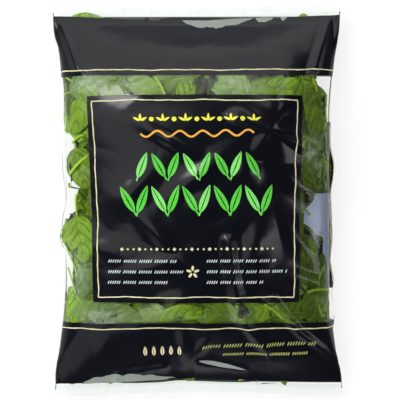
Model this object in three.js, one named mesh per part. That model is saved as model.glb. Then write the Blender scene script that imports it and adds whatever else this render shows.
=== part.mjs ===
// A bag of fresh spinach leaves: a tube of clear film, filled and sealed flat across both ends.
// It lies on its back with the printed front up. Millimetres, +Z up, +Y towards the top of the bag,
// origin on the surface that the bag rests on, under its middle.
import * as THREE from "three";

// The film as it was cut, and the filled bag
const FLAT_WIDTH = 254; // width of the empty tube laid flat, which is also the width of both ends
const FILLED_LENGTH = 345; // from one end's corners to the other's
const THICKNESS = 58; // from the surface under the bag to the crown of its front
const FILM_PAIR = 1; // the two plies where nothing lies between them, drawn thicker than film is

// How the filled part meets the sealed ends
const END_STRIP = 13; // flat sealed strip at each end
const SHOULDER = 76; // length over which the bag swells from a seal to its full thickness
const END_BOW = 5; // how far the middle of each end is drawn in by the filling
const SEAL_HEIGHT = 13; // height of the seals over the surface under the bag
const SIDE_HEIGHT = 25; // height of the side folds where the bag is full
const REST_DEPTH = 2.5; // how far the weight of the leaves flattens the back

// Roundness of the section: 2 is an ellipse, and more is squarer
const FRONT_ROUNDNESS = 2.3;
const BACK_ROUNDNESS = 2.8;

// Relief of the leaves under the film, pleats beside the seals, and the tucks at the corners
const LEAF_RELIEF = 1.7;
const LEAF_SPACING = 43;
const PLEAT_HEIGHT = 1.6;
const PLEAT_SPACING = 31;
const PLEAT_REACH = 30;
const TUCK_DEPTH = 4;
const TUCK_LENGTH = 78;
const TUCK_WIDTH = 9;
const TUCK_LEAN = 0.52; // sideways run of a tuck for each millimetre along the bag
const STRIP_WAVE = 1.2; // gentle wave of the sealed strips, up and down

const ACROSS = 38; // steps across the front, and as many across the back
const ALONG = 50; // steps from end to end
const STRIP_STEPS = 2; // how many of them cross each sealed strip

const { abs, cos, exp, hypot, max, min, sign, sin, PI } = Math;

/** A part of the full thickness, from 0 at a seal to 1 past the shoulder. */
function swell(y) {
  const inside = FILLED_LENGTH / 2 - END_STRIP - abs(y);
  const t = min(max(inside / SHOULDER, 0), 1);
  return 1 - (1 - t) ** 2;
}

/** A point of the section's front or back, on a curve between an ellipse and a rectangle. */
function sectionPoint(turn, halfWidth, height, roundness) {
  const bend = 2 / roundness;
  return {
    x: halfWidth * sign(sin(turn)) * abs(sin(turn)) ** bend,
    rise: height * max(cos(turn), 0) ** bend,
  };
}

/** Turn of the section's step i, from -90 to 90 degrees. */
const stepTurn = (i) => (i / ACROSS - 0.5) * PI;

/** Length of film round one half of a section. */
function arcLength(halfWidth, height, roundness) {
  let length = 0;
  let last = sectionPoint(stepTurn(0), halfWidth, height, roundness);
  for (let i = 1; i <= ACROSS; i++) {
    const next = sectionPoint(stepTurn(i), halfWidth, height, roundness);
    length += hypot(next.x - last.x, next.rise - last.rise);
    last = next;
  }
  return length;
}

/** Half width of the section at y: the film keeps its length round the bag, so a thick section is narrow. */
function halfWidthAt(frontRise, backDrop) {
  let low = FLAT_WIDTH / 3;
  let high = FLAT_WIDTH / 2;
  for (let tries = 0; tries < 30; tries++) {
    const middle = (low + high) / 2;
    const around =
      arcLength(middle, frontRise, FRONT_ROUNDNESS) + arcLength(middle, backDrop, BACK_ROUNDNESS);
    if (around > 2 * FLAT_WIDTH) high = middle;
    else low = middle;
  }
  return (low + high) / 2;
}

/** Uneven rise of the film over the leaves at a place on the front, between about -1 and 1. */
function leafBumps(x, y) {
  const u = (2 * PI * x) / LEAF_SPACING;
  const v = (2 * PI * y) / LEAF_SPACING;
  return (
    0.5 * sin(0.8 * u + 1.4 * sin(0.37 * v)) * sin(0.9 * v + 1.2 * sin(0.43 * u)) +
    0.3 * sin(1.7 * u - 0.6 * v + 0.8) +
    0.2 * sin(0.7 * u + 1.9 * v + 2.1)
  );
}

/** Pleats that run in from the seals, highest at the seal's inner edge. */
function pleats(x, inside) {
  if (inside <= 0) return 0;
  const fade = min(inside / 6, 1) * exp(-inside / PLEAT_REACH);
  const u = (2 * PI * x) / PLEAT_SPACING;
  return PLEAT_HEIGHT * fade * (sin(u + 0.6) + 0.5 * sin(1.83 * u + 2));
}

/** Depth of the groove that each corner's tuck presses into the film. */
function tucks(x, inside) {
  const along = inside / TUCK_LENGTH;
  if (along <= 0 || along >= 1) return 0;
  const fromSide = FLAT_WIDTH / 2 - abs(x) - inside * TUCK_LEAN;
  return TUCK_DEPTH * sin(PI * along) * exp(-((fromSide / TUCK_WIDTH) ** 2));
}

/** Places of every ring of the film: across the front from left to right, then back across the back. */
function ringAt(y) {
  const full = swell(y);
  const fold = SEAL_HEIGHT + (SIDE_HEIGHT - SEAL_HEIGHT) * full;
  const frontRise = (THICKNESS - SIDE_HEIGHT) * full;
  const backDrop = (SIDE_HEIGHT + REST_DEPTH) * full;
  const halfWidth = halfWidthAt(frontRise, backDrop);
  const inside = FILLED_LENGTH / 2 - END_STRIP - abs(y);
  const ring = [];
  const add = (turn, rise, roundness, isFront) => {
    const point = sectionPoint(turn, halfWidth, rise, roundness);
    const crown = cos(turn) ** 0.5;
    const bow = END_BOW * (1 - full) * (1 - (point.x / (FLAT_WIDTH / 2)) ** 2);
    const strip = STRIP_WAVE * (1 - full) * sin((2 * PI * point.x) / 97 + y / 60);
    const relief = LEAF_RELIEF * full * leafBumps(point.x, y) + pleats(point.x, inside);
    const groove = tucks(point.x, inside);
    let z = fold + strip;
    if (isFront) z += FILM_PAIR / 2 + point.rise + crown * max(relief - groove, -point.rise / 2);
    else z -= FILM_PAIR / 2 + point.rise - crown * min(groove, point.rise / 2);
    ring.push(new THREE.Vector3(point.x, y - sign(y) * bow, max(z, 0)));
  };
  for (let i = 0; i <= ACROSS; i++) add(stepTurn(i), frontRise, FRONT_ROUNDNESS, true);
  for (let i = ACROSS; i >= 0; i--) add(stepTurn(i), backDrop, BACK_ROUNDNESS, false);
  return ring;
}

/** Stations along the bag: even steps, with a few to each sealed strip. */
function stations() {
  const found = [];
  const inner = FILLED_LENGTH / 2 - END_STRIP;
  const bodySteps = ALONG - 2 * STRIP_STEPS;
  for (let j = 0; j < STRIP_STEPS; j++) found.push(-FILLED_LENGTH / 2 + (j * END_STRIP) / STRIP_STEPS);
  for (let j = 0; j <= bodySteps; j++) found.push(-inner * cos((PI * j) / bodySteps) * 0.35 +
    inner * (2 * (j / bodySteps) - 1) * 0.65);
  for (let j = 1; j <= STRIP_STEPS; j++) found.push(inner + (j * END_STRIP) / STRIP_STEPS);
  return found;
}

/** The filled bag as one closed surface, with its rings joined and both ends shut. */
function bagGeometry() {
  const rings = stations().map(ringAt);
  const around = rings[0].length;
  const faces = [];
  for (let j = 0; j + 1 < rings.length; j++) {
    for (let i = 0; i < around; i++) {
      const a = j * around + i;
      const b = j * around + ((i + 1) % around);
      faces.push(a, b, b + around, a, b + around, a + around);
    }
  }
  const last = (rings.length - 1) * around;
  for (let i = 0; i < ACROSS; i++) {
    const under = around - 1 - i;
    faces.push(i, under, under - 1, i, under - 1, i + 1);
    faces.push(last + i, last + i + 1, last + under - 1, last + i, last + under - 1, last + under);
  }
  const geometry = new THREE.BufferGeometry().setFromPoints(rings.flat());
  geometry.setIndex(faces);
  geometry.computeVertexNormals();
  return geometry;
}

const film = new THREE.MeshStandardMaterial({ color: 0x3c5a26, roughness: 0.25, metalness: 0 });

const bag = new THREE.Mesh(bagGeometry(), film);
bag.name = "filled_bag";

const part = new THREE.Group();
part.add(bag);
export default part;
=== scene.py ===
"""A bag of fresh spinach leaves in clear printed film, lying on its back with the printed front up.

The film is a tube with flat sealed ends. It is relaxed from its cut size round the leaves, so that its
facets, tucks and creases are those of a sheet that can't stretch. The print and the leaves are laid out in
flat film coordinates, u round the tube from the middle of the front and v along it, and are then carried on
to the film.
"""
import logging
import math
from dataclasses import dataclass, field
from enum import Enum
from typing import Callable, Iterable

import bpy
import numpy as np
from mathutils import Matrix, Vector
from mathutils.bvhtree import BVHTree
from mathutils.geometry import delaunay_2d_cdt


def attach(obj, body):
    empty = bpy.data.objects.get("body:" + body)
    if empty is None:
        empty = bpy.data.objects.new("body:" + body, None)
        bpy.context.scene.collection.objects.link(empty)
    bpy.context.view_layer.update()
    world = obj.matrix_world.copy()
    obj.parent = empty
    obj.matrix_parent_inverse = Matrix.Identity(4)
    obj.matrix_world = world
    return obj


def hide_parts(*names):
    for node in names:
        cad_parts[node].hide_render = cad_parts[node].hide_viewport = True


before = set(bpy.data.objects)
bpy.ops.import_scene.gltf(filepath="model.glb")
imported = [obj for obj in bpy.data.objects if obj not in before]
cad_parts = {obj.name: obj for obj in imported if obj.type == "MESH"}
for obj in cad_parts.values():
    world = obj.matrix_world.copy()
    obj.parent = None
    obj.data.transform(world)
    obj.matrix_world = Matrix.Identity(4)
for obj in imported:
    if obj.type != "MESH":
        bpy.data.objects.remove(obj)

log = logging.getLogger("bag")

Pair = tuple[float, float]
Triple = tuple[float, float, float]
Socket = bpy.types.NodeSocket

MM = 0.001
LITRE = 1e-3
BODY = "root"
NODE = "filled_bag"
PHASES = (0, 6)
VEIN_PAIRS = 4.5
VEIN_SLANT = 1.7
VEIN_BEND = 1.25
UPRIGHT = 1.57
TINY = 1e-6
HEAP_SEED = 9


def mm(*values: float) -> tuple[float, ...]:
    """The values, given in millimetres, in metres."""
    return tuple(value * MM for value in values)


@dataclass(frozen=True)
class Cut:
    """Sizes of the film as it was cut, and of the bag that it makes, in metres."""

    width: float = 254 * MM
    length: float = 351 * MM
    seal: float = 8 * MM
    filled_length: float = 345 * MM
    seal_height: float = 12 * MM

    @property
    def around(self) -> float:
        """Length of film round the tube."""
        return 2 * self.width


@dataclass(frozen=True)
class Contents:
    """The heap of leaves that holds the film out, as a rounded body with lumps on it."""

    side_height: float = 25 * MM
    crown: float = 53 * MM
    shoulder: float = 100 * MM
    side_gap: float = 2.5 * MM
    front_roundness: float = 2.05
    back_roundness: float = 2.4
    litres: float = 2.3
    lump_count: int = 70
    lump_height: float = 4.5 * MM
    lump_long: Pair = mm(14, 34)
    lump_wide: Pair = mm(6, 14)
    lump_reach: float = 0.44
    lowest_lump: float = 0.4
    front_slack: float = 4 * MM
    back_slack: float = 2 * MM
    back_gap: float = 1 * MM
    back_lumps: float = 0.4
    seed: int = 5


@dataclass(frozen=True)
class Crease:
    """A ridge that a folded leaf or a pleat holds up under the film, between two places of flat film."""

    start: Pair
    stop: Pair
    height: float
    width: float

    def rise(self, u: np.ndarray, v: np.ndarray) -> np.ndarray:
        """Height of the ridge at places of the film."""
        run = (self.stop[0] - self.start[0], self.stop[1] - self.start[1])
        share = ((u - self.start[0]) * run[0] + (v - self.start[1]) * run[1]) / (run[0] ** 2 + run[1] ** 2)
        share = np.clip(share, 0, 1)
        away = np.hypot(u - self.start[0] - share * run[0], v - self.start[1] - share * run[1])
        return self.height * np.maximum(1 - away / self.width, 0)


CREASES = tuple(
    Crease(mm(u, v), mm(to_u, to_v), height * MM, width * MM)
    for u, v, to_u, to_v, height, width in (
        (63, -88, 77, -105, 5, 7), (77, -105, 89, -119, 5, 7), (89, -119, 122, -143, 5, 7),
        (27, -35, 36, -105, 4, 10), (36, -105, 58, -133, 4, 9), (107, -89, 121, -140, 5, 6),
        (33, 72, 90, 48, 5, 9), (103, 118, 117, 160, 6, 7), (-103, 118, -119, 158, 6, 7),
        (-70, -158, -30, -152, 5, 6), (0, -150, 40, -156, 5, 6)))


@dataclass(frozen=True)
class Level:
    """One pass of the relaxation, each on a grid twice as fine as the one before."""

    steps: int
    bending: float
    pressure: float
    drag: float


LEVELS = (
    Level(900, 0.03, 0.05 * MM, 0.95),
    Level(500, 0.03, 0.03 * MM, 0.93),
    Level(150, 0.05, 0.015 * MM, 0.90),
)


def unit(vectors: np.ndarray) -> np.ndarray:
    """The vectors at length one."""
    return vectors / np.maximum(np.linalg.norm(vectors, axis=-1, keepdims=True), 1e-12)


def grid_normals(points: np.ndarray) -> np.ndarray:
    """Outward normals of a tube of points, whose second axis goes round."""
    around = np.roll(points, -1, 1) - np.roll(points, 1, 1)
    along = np.empty_like(points)
    along[1:-1] = points[2:] - points[:-2]
    along[0] = points[1] - points[0]
    along[-1] = points[-1] - points[-2]
    return unit(np.cross(around, along))


def tube_volume(points: np.ndarray) -> float:
    """Volume inside a tube of points, in cubic metres."""
    around = (np.roll(points, -1, 1) - np.roll(points, 1, 1))[1:-1]
    along = points[2:] - points[:-2]
    upward = around[..., 0] * along[..., 1] - around[..., 1] * along[..., 0]
    return float((upward * points[1:-1, :, 2]).sum()) / 4


def pull(first: np.ndarray, second: np.ndarray, rest: float, strength: float,
         only_apart: bool = False) -> None:
    """Moves pairs of points to their rest distance, in place.

    Args:
        first: One point of each pair, as a view of the grid.
        second: The other point of each pair.
        rest: The distance that the film keeps between them.
        strength: Share of the error that is put right.
        only_apart: Whether pairs are only pushed apart, as stiffness does, and never drawn together.
    """
    gap = second - first
    length = np.sqrt(np.einsum("...k,...k->...", gap, gap))
    np.maximum(length, 1e-9, out=length)
    share = (1 - rest / length) * np.float32(0.5 * strength)
    if only_apart:
        np.minimum(share, 0, out=share)
    gap *= share[..., None]
    first += gap
    second -= gap


class FilmTube:
    """Relaxes the film round its contents, from a coarse grid to a fine one."""

    # the first grid, and how finely its sections are found
    COARSE_ROUND = 72
    COARSE_ROWS = 52
    PROFILE_POINTS = 80
    HALVINGS = 30
    LEAST_RISE = 0.1 * MM
    JITTER = 0.05 * MM
    # the floor, the least gap between plies, and the sealed strips
    FLOOR = 0.5 * MM
    PLY_GAP = 0.3 * MM
    STIFF_STRIDES = (2, 6, 12, 18)
    SEAL_STIFFNESS = 0.35
    END_HOLD = 0.2
    TAKEN_UP = 5 * MM
    # the heap: roundness of its sections, where its lumps fade, and how hard it pushes the film out
    POWER = 2.1
    SMOOTH_HEAD = mm(80, 110)
    SMOOTH_SHARE = 0.85
    FILLED_FROM = 0.02
    PUSH_OUT = 0.6
    MOST_PUSH = 1 * MM
    LEAST_SLOPE = 1e-4
    # the air inside and the film's weight, as a share of its pressure
    PRESS_GAIN = 8
    WEIGHT = 0.1
    # steps between rounds of what isn't done at every step
    PRESS_EVERY = 8
    PUSH_EVERY = 2
    CENTRE_EVERY = 10

    def __init__(self, cut: Cut, contents: Contents) -> None:
        self.cut = cut
        self.contents = contents

    def swell(self, y: np.ndarray) -> np.ndarray:
        """Share of the full thickness at y, from 0 at a seal to 1 past the shoulder."""
        inside = self.cut.filled_length / 2 - self.cut.seal - np.abs(y)
        return 1 - (1 - np.clip(inside / self.contents.shoulder, 0, 1)) ** 2

    @staticmethod
    def section(turn: np.ndarray, half_width: float, height: float,
                roundness: float) -> tuple[np.ndarray, np.ndarray]:
        """Points of one half of a section, on a curve between an ellipse and a rectangle."""
        bend = 2 / roundness
        return half_width * np.sin(turn) ** bend, height * np.maximum(np.cos(turn), 0) ** bend

    def profile(self, half_width: float, front: float,
                back: float) -> tuple[np.ndarray, np.ndarray, np.ndarray]:
        """Right half of a section from the crown to the middle of the back: distance along it, x and rise."""
        turn = np.linspace(0, np.pi / 2, self.PROFILE_POINTS)
        front_x, front_z = self.section(turn, half_width, front, self.contents.front_roundness)
        back_x, back_z = self.section(turn[::-1], half_width, back, self.contents.back_roundness)
        x = np.concatenate([front_x, back_x[1:]])
        z = np.concatenate([front_z, -back_z[1:]])
        return np.concatenate([[0], np.cumsum(np.hypot(np.diff(x), np.diff(z)))]), x, z

    def half_width(self, front: float, back: float) -> float:
        """Half width of a section whose outline is as long as the film round it."""
        low, high = self.cut.width / 3, self.cut.width / 2
        for _ in range(self.HALVINGS):
            middle = (low + high) / 2
            if self.profile(middle, front, back)[0][-1] > self.cut.width:
                high = middle
            else:
                low = middle
        return (low + high) / 2

    def heights(self, full: np.ndarray) -> tuple[np.ndarray, np.ndarray, np.ndarray]:
        """Height of the side folds, rise of the front over them, and drop of the back below them."""
        contents = self.contents
        fold = self.cut.seal_height + (contents.side_height - self.cut.seal_height) * full
        front = (contents.crown + contents.front_slack - contents.side_height) * full + self.LEAST_RISE
        back = (contents.side_height - contents.back_gap) * full + self.LEAST_RISE
        return fold, front, back

    def start(self) -> tuple[np.ndarray, np.ndarray]:
        """The coarse tube before it is relaxed, and the y of each of its rows."""
        cut = self.cut
        u = np.arange(self.COARSE_ROUND) * (cut.around / self.COARSE_ROUND) - cut.width / 2
        u = np.where(u > cut.width, u - cut.around, u)
        v = np.linspace(-cut.length / 2, cut.length / 2, self.COARSE_ROWS)
        inner = cut.length / 2 - cut.seal
        outer = cut.filled_length / 2 - cut.length / 2 + np.abs(v)
        drawn_in = v * (cut.filled_length / 2 - cut.seal) / inner
        y = np.where(np.abs(v) < inner, drawn_in, np.sign(v) * outer)
        points = np.zeros((self.COARSE_ROWS, self.COARSE_ROUND, 3))
        for row, (fold, front, back) in enumerate(zip(*self.heights(self.swell(y)))):
            distance, x, z = self.profile(self.half_width(front, back), front, back)
            distance = distance * (cut.width / distance[-1])
            points[row, :, 0] = np.sign(u) * np.interp(np.abs(u), distance, x)
            points[row, :, 1] = y[row]
            points[row, :, 2] = fold + np.interp(np.abs(u), distance, z)
        return points, y

    def lumps(self, rows: int, columns: int) -> np.ndarray:
        """Height of the leaves' lumps over the smooth heap, at each place of the film."""
        cut, contents = self.cut, self.contents
        rng = np.random.default_rng(contents.seed)
        u = np.arange(columns) * (cut.around / columns) - cut.width / 2
        v = np.linspace(-cut.length / 2, cut.length / 2, rows)
        height = np.zeros((rows, columns))
        for _ in range(contents.lump_count):
            at_u = rng.uniform(-cut.width / 2, 1.5 * cut.width)
            at_v = rng.uniform(-contents.lump_reach, contents.lump_reach) * cut.length
            turn = rng.uniform(0, np.pi)
            long = rng.uniform(*contents.lump_long)
            wide = rng.uniform(*contents.lump_wide)
            high = rng.uniform(contents.lowest_lump, 1) * contents.lump_height
            du = (u[None] - at_u + cut.width) % cut.around - cut.width
            dv = v[:, None] - at_v
            along = (du * np.cos(turn) + dv * np.sin(turn)) / long
            across = (dv * np.cos(turn) - du * np.sin(turn)) / wide
            height = np.maximum(height, high * np.exp(-along**2 - across**2))
        smooth_from, smooth_to = self.SMOOTH_HEAD
        head = np.clip((v - smooth_from) / (smooth_to - smooth_from), 0, 1)
        height *= (1 - self.SMOOTH_SHARE * head)[:, None]
        u = (u + cut.width) % cut.around - cut.width
        for crease in CREASES:
            height = np.maximum(height, crease.rise(u[None], v[:, None]))
        return height

    @staticmethod
    def sweep(points: np.ndarray, step_u: float, step_v: float, bending: float) -> None:
        """One pass over the film's threads: round, along, across both diagonals, and its slight stiffness."""
        rows, columns, _ = points.shape
        pull(points[:, 0::2], points[:, 1::2], step_u, 1)
        pull(points[:, 1:-1:2], points[:, 2::2], step_u, 1)
        pull(points[:, -1], points[:, 0], step_u, 1)
        diagonal = math.hypot(step_u, step_v)
        for first in (0, 1):
            low, high = points[first:rows - 1:2], points[first + 1:rows:2]
            pull(low, high, step_v, 1)
            pull(low[:, :-1], high[:, 1:], diagonal, 1)
            pull(low[:, -1], high[:, 0], diagonal, 1)
            pull(low[:, 1:], high[:, :-1], diagonal, 1)
            pull(low[:, 0], high[:, -1], diagonal, 1)
        for first in range(4):
            low, high = points[:, first:columns - 2:4], points[:, first + 2:columns:4]
            pairs = min(low.shape[1], high.shape[1])
            pull(low[:, :pairs], high[:, :pairs], 2 * step_u, bending, True)
            low, high = points[first:rows - 2:4], points[first + 2:rows:4]
            pairs = min(len(low), len(high))
            pull(low[:pairs], high[:pairs], 2 * step_v, bending, True)
        pull(points[:, -2:], points[:, :2], 2 * step_u, bending, True)

    def hold_out(self, points: np.ndarray, fold: np.ndarray, half: np.ndarray, front: np.ndarray,
                 back: np.ndarray) -> None:
        """Pushes film out of the heap of leaves, along the heap's own slope."""
        power = self.POWER
        up = points[..., 2] - fold
        high = np.where(up > 0, front, back)
        side, rise = points[..., 0] / half, up / high
        side_root, rise_root = np.abs(side) ** (power - 1), np.abs(rise) ** (power - 1)
        depth = np.abs(side) * side_root + np.abs(rise) * rise_root - 1
        slope_x = power * side_root * np.sign(side) / half
        slope_z = power * rise_root * np.sign(rise) / high
        slope = np.sqrt(slope_x**2 + slope_z**2)
        move = np.where(depth < 0, -depth / np.maximum(slope, self.LEAST_SLOPE) * self.PUSH_OUT, 0)
        move = np.minimum(move, self.MOST_PUSH) / np.maximum(slope, TINY)
        points[..., 0] += move * slope_x
        points[..., 2] += move * slope_z

    def hold_end(self, strip: np.ndarray, edge: int, step_u: float) -> None:
        """Keeps a sealed strip welded, stiff, and at its place.

        Args:
            strip: Rows of the strip.
            edge: Index of its outermost row, 0 or -1.
            step_u: Distance between columns in flat film.
        """
        columns = strip.shape[1]
        front, back = slice(1, columns // 2), slice(columns - 1, columns // 2, -1)
        half = strip[:, :columns // 2 + 1]
        for stride in self.STIFF_STRIDES:
            gap = stride * columns // self.COARSE_ROUND
            for offset in (0, gap // 2, gap, gap + gap // 2):
                low = half[:, offset:columns // 2 + 1 - gap:2 * gap]
                high = half[:, offset + gap:columns // 2 + 1:2 * gap]
                pairs = min(low.shape[1], high.shape[1])
                if pairs:
                    pull(low[:, :pairs], high[:, :pairs], gap * step_u, self.SEAL_STIFFNESS, True)
        middle = (strip[:, front] + strip[:, back]) / 2
        strip[:, front] = middle
        strip[:, back] = middle
        want = (0.5 if edge else -0.5) * (self.cut.filled_length - self.TAKEN_UP)
        strip[..., 1] += self.END_HOLD * (want - strip[edge, :, 1].mean())
        strip[..., 2] += self.END_HOLD / 2 * (self.cut.seal_height - strip[edge, :, 2].mean())

    def settle(self, points: np.ndarray, y: np.ndarray, level: Level) -> np.ndarray:
        """Relaxes one grid of the film round its contents."""
        cut, contents = self.cut, self.contents
        rows, columns, _ = points.shape
        points = points.astype(np.float32)
        step_u, step_v = np.float32(cut.around / columns), np.float32(cut.length / (rows - 1))
        v = np.linspace(-cut.length / 2, cut.length / 2, rows)
        sealed = int((v < -cut.length / 2 + cut.seal + TINY).sum())
        full = self.swell(y)[:, None]
        fold, front, back = self.heights(full)
        half = np.array([self.half_width(a, b) for a, b in zip(front[:, 0], back[:, 0])])[:, None]
        lump = self.lumps(rows, columns) * np.minimum(full * 2, 1)
        front = front - contents.front_slack * full + lump
        back = back - contents.back_slack * full + contents.back_lumps * lump
        is_filled = full[:, 0] > self.FILLED_FROM
        filled = slice(int(np.argmax(is_filled)), rows - int(np.argmax(is_filled[::-1])))
        heap = [part[filled].astype(np.float32) for part in (fold, half - contents.side_gap, front, back)]
        over, under = slice(1, columns // 2), slice(columns - 1, columns // 2, -1)
        last = points.copy()
        push = np.zeros_like(points)
        for step in range(level.steps):
            move = (points - last) * np.float32(level.drag)
            last[...] = points
            if step % self.PRESS_EVERY == 0:
                short = 1 - tube_volume(points) / (contents.litres * LITRE)
                pressure = level.pressure * np.clip(short * self.PRESS_GAIN, -1, 1)
                push = (grid_normals(points) * pressure).astype(np.float32)
                push[..., 2] -= level.pressure * self.WEIGHT
            points += move + push
            self.sweep(points, step_u, step_v, level.bending)
            if step % self.PUSH_EVERY == 0:
                self.hold_out(points[filled], *heap)
            crossed = np.maximum(points[:, under, 2] + self.PLY_GAP - points[:, over, 2], 0) / 2
            points[:, over, 2] += crossed
            points[:, under, 2] -= crossed
            self.hold_end(points[:sealed], 0, step_u)
            self.hold_end(points[rows - sealed:], -1, step_u)
            np.maximum(points[..., 2], self.FLOOR, out=points[..., 2])
            if step % self.CENTRE_EVERY == 0:
                centre = points[..., :2].mean((0, 1))
                points[..., :2] -= centre
                last[..., :2] -= centre
        return points.astype(float)

    @staticmethod
    def refine(points: np.ndarray) -> np.ndarray:
        """The same tube with twice as many points each way."""
        rows, columns, _ = points.shape
        round_it = np.empty((rows, 2 * columns, 3))
        round_it[:, 0::2] = points
        before, after = np.roll(points, 1, 1), np.roll(points, -1, 1)
        next_but_one = np.roll(points, -2, 1)
        round_it[:, 1::2] = (9 * (points + after) - before - next_but_one) / 16
        first, last = 2 * round_it[:1] - round_it[1:2], 2 * round_it[-1:] - round_it[-2:-1]
        padded = np.concatenate([first, round_it, last])
        finer = np.empty((2 * rows - 1, 2 * columns, 3))
        finer[0::2] = round_it
        finer[1::2] = (9 * (padded[1:-2] + padded[2:-1]) - padded[:-3] - padded[3:]) / 16
        return finer

    def relaxed(self, levels: Iterable[Level]) -> "Film":
        """The film at rest round its contents."""
        rng = np.random.default_rng(self.contents.seed)
        points, y = self.start()
        for number, level in enumerate(levels):
            if number:
                points = self.refine(points)
                y = np.interp(np.arange(2 * len(y) - 1) / 2, np.arange(len(y)), y)
            points = points + rng.normal(0, self.JITTER, points.shape)
            points = self.settle(points, y, level)
            litres = tube_volume(points) / LITRE
            log.info("film level %d: %d x %d, %.2f litres", number, *points.shape[:2], litres)
        return Film(self.cut, points)


class Film:
    """The film's surface, and the way from flat film coordinates to places on it."""

    UPRIGHT_COLUMNS = 160
    INSIDE_GRID = 1.001
    # the smoothed film that leaves follow, where the bag is thick enough for it
    BLUR_PASSES = 5
    FREE_THICKNESS = 22 * MM
    # what lies inside stays this far under the film, and takes no more than these shares of the thickness
    SKIN = 0.3 * MM
    MOST_ROOM = 0.45
    MOST_CLEARANCE = 0.3
    MOST_DEPTH = 0.42
    # depth counted for the painted shade of a leaf halfway between the plies
    FULL_DEPTH = 45 * MM

    def __init__(self, cut: Cut, points: np.ndarray) -> None:
        self.cut = cut
        self.points = points
        self.normals = grid_normals(points)
        self.smooth = self.blurred(points, self.BLUR_PASSES)
        self.smooth_normals = grid_normals(self.smooth)
        columns = points.shape[1]
        mirror = (columns - np.arange(columns)) % columns
        self.thickness = np.abs(self.points[..., 2] - self.points[:, mirror, 2])
        freedom = np.clip(self.thickness / self.FREE_THICKNESS, 0, 1)[..., None]
        self.smooth = self.points + (self.smooth - self.points) * freedom
        self.hollow = ((self.smooth - self.points) * self.smooth_normals).sum(-1)
        self.sides, self.maps = self.upright()

    def upright(self) -> tuple[np.ndarray, np.ndarray]:
        """The plies over even places across the bag.

        Returns:
            The x of both side folds at each row, and for each row the y, front height, back height and
            smooth front height at places from one side fold to the other.
        """
        columns = self.points.shape[1]
        half = columns // 2
        front = np.arange(half + 1)
        back = (columns - front) % columns
        sides = np.stack([self.points[:, 0, 0], self.points[:, half, 0]], -1)
        share = np.linspace(0, 1, self.UPRIGHT_COLUMNS)
        maps = np.zeros((len(self.points), self.UPRIGHT_COLUMNS, 4))
        for row, (left, right) in enumerate(sides):
            x = left + (right - left) * share
            over, under, soft = self.points[row, front], self.points[row, back], self.smooth[row, front]
            across = np.maximum.accumulate(over[:, 0])
            maps[row, :, 0] = np.interp(x, across, over[:, 1])
            maps[row, :, 1] = np.interp(x, across, over[:, 2])
            maps[row, :, 2] = np.interp(x, np.maximum.accumulate(under[:, 0]), under[:, 2])
            maps[row, :, 3] = np.interp(x, np.maximum.accumulate(soft[:, 0]), soft[:, 2])
        return sides, maps

    def lying(self, x: np.ndarray, v: np.ndarray, share: float, curl: np.ndarray, room: float,
              inset: float) -> tuple[np.ndarray, np.ndarray]:
        """Places of a leaf that lies between the plies.

        Args:
            x: Places across the bag, in metres.
            v: Places along the film.
            share: How deep it lies, from 0 under the front to 1 on the back.
            curl: How much deeper each place is than that.
            room: Room that it keeps from the film, where there is enough.
            inset: Room that it keeps from the side folds.

        Returns:
            The places, kept between the plies, and how far they are from the nearer ply, or more where they
            lie deep in the heap; this depth sets the leaves' painted shade.
        """
        rows = len(self.points)
        row = np.clip((v / self.cut.length + 0.5) * (rows - 1), 0, rows - self.INSIDE_GRID)
        j = np.floor(row).astype(int)
        fj = (row - j)[..., None]
        sides = self.sides[j] * (1 - fj) + self.sides[j + 1] * fj
        x = np.clip(x, sides[..., 0] + inset, sides[..., 1] - inset)
        across = (x - sides[..., 0]) / (sides[..., 1] - sides[..., 0]) * (self.UPRIGHT_COLUMNS - 1)
        i = np.clip(np.floor(across).astype(int), 0, self.UPRIGHT_COLUMNS - 2)
        fi = (across - i)[..., None]
        low = self.maps[j, i] * (1 - fi) + self.maps[j, i + 1] * fi
        high = self.maps[j + 1, i] * (1 - fi) + self.maps[j + 1, i + 1] * fi
        y, top, under, soft = np.moveaxis(low * (1 - fj) + high * fj, -1, 0)
        thick = np.maximum(top - under, 0)
        room = np.minimum(room, self.MOST_ROOM * thick)
        z = np.clip(soft - share * thick - curl, under + room, np.maximum(top - room, under + room))
        z = np.minimum(z, top - self.SKIN)
        buried = np.minimum(top - z, z - under)
        return np.stack([x, y, z], -1), np.maximum(buried, min(share, 1 - share) * self.FULL_DEPTH)

    @staticmethod
    def blurred(points: np.ndarray, passes: int) -> np.ndarray:
        """The points with the small creases smoothed away."""
        for _ in range(passes):
            points = (np.roll(points, 2, 1) + np.roll(points, -2, 1) + np.roll(points, 1, 1)
                      + np.roll(points, -1, 1) + points) / 5
            padded = np.concatenate([points[:1], points[:1], points, points[-1:], points[-1:]])
            points = sum(padded[k:k + len(points)] for k in range(5)) / 5
        return points

    def sample(self, values: np.ndarray, u: np.ndarray, v: np.ndarray) -> np.ndarray:
        """Values of a grid over the film at flat coordinates, wrapping round the tube."""
        rows, columns = values.shape[:2]
        across = (u + self.cut.width / 2) / self.cut.around * columns
        along = np.clip((v / self.cut.length + 0.5) * (rows - 1), 0, rows - self.INSIDE_GRID)
        i, j = np.floor(across).astype(int), np.floor(along).astype(int)
        fi, fj = across - i, along - j
        if values.ndim == 3:
            fi, fj = fi[..., None], fj[..., None]
        i0, i1 = i % columns, (i + 1) % columns
        low = values[j, i0] * (1 - fi) + values[j, i1] * fi
        high = values[j + 1, i0] * (1 - fi) + values[j + 1, i1] * fi
        return low * (1 - fj) + high * fj

    def outside(self, u: np.ndarray, v: np.ndarray, lift: float) -> tuple[np.ndarray, np.ndarray]:
        """Places on the outer face of the film and the film's normals there."""
        normal = unit(self.sample(self.normals, u, v))
        return self.sample(self.points, u, v) + normal * lift, normal

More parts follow.
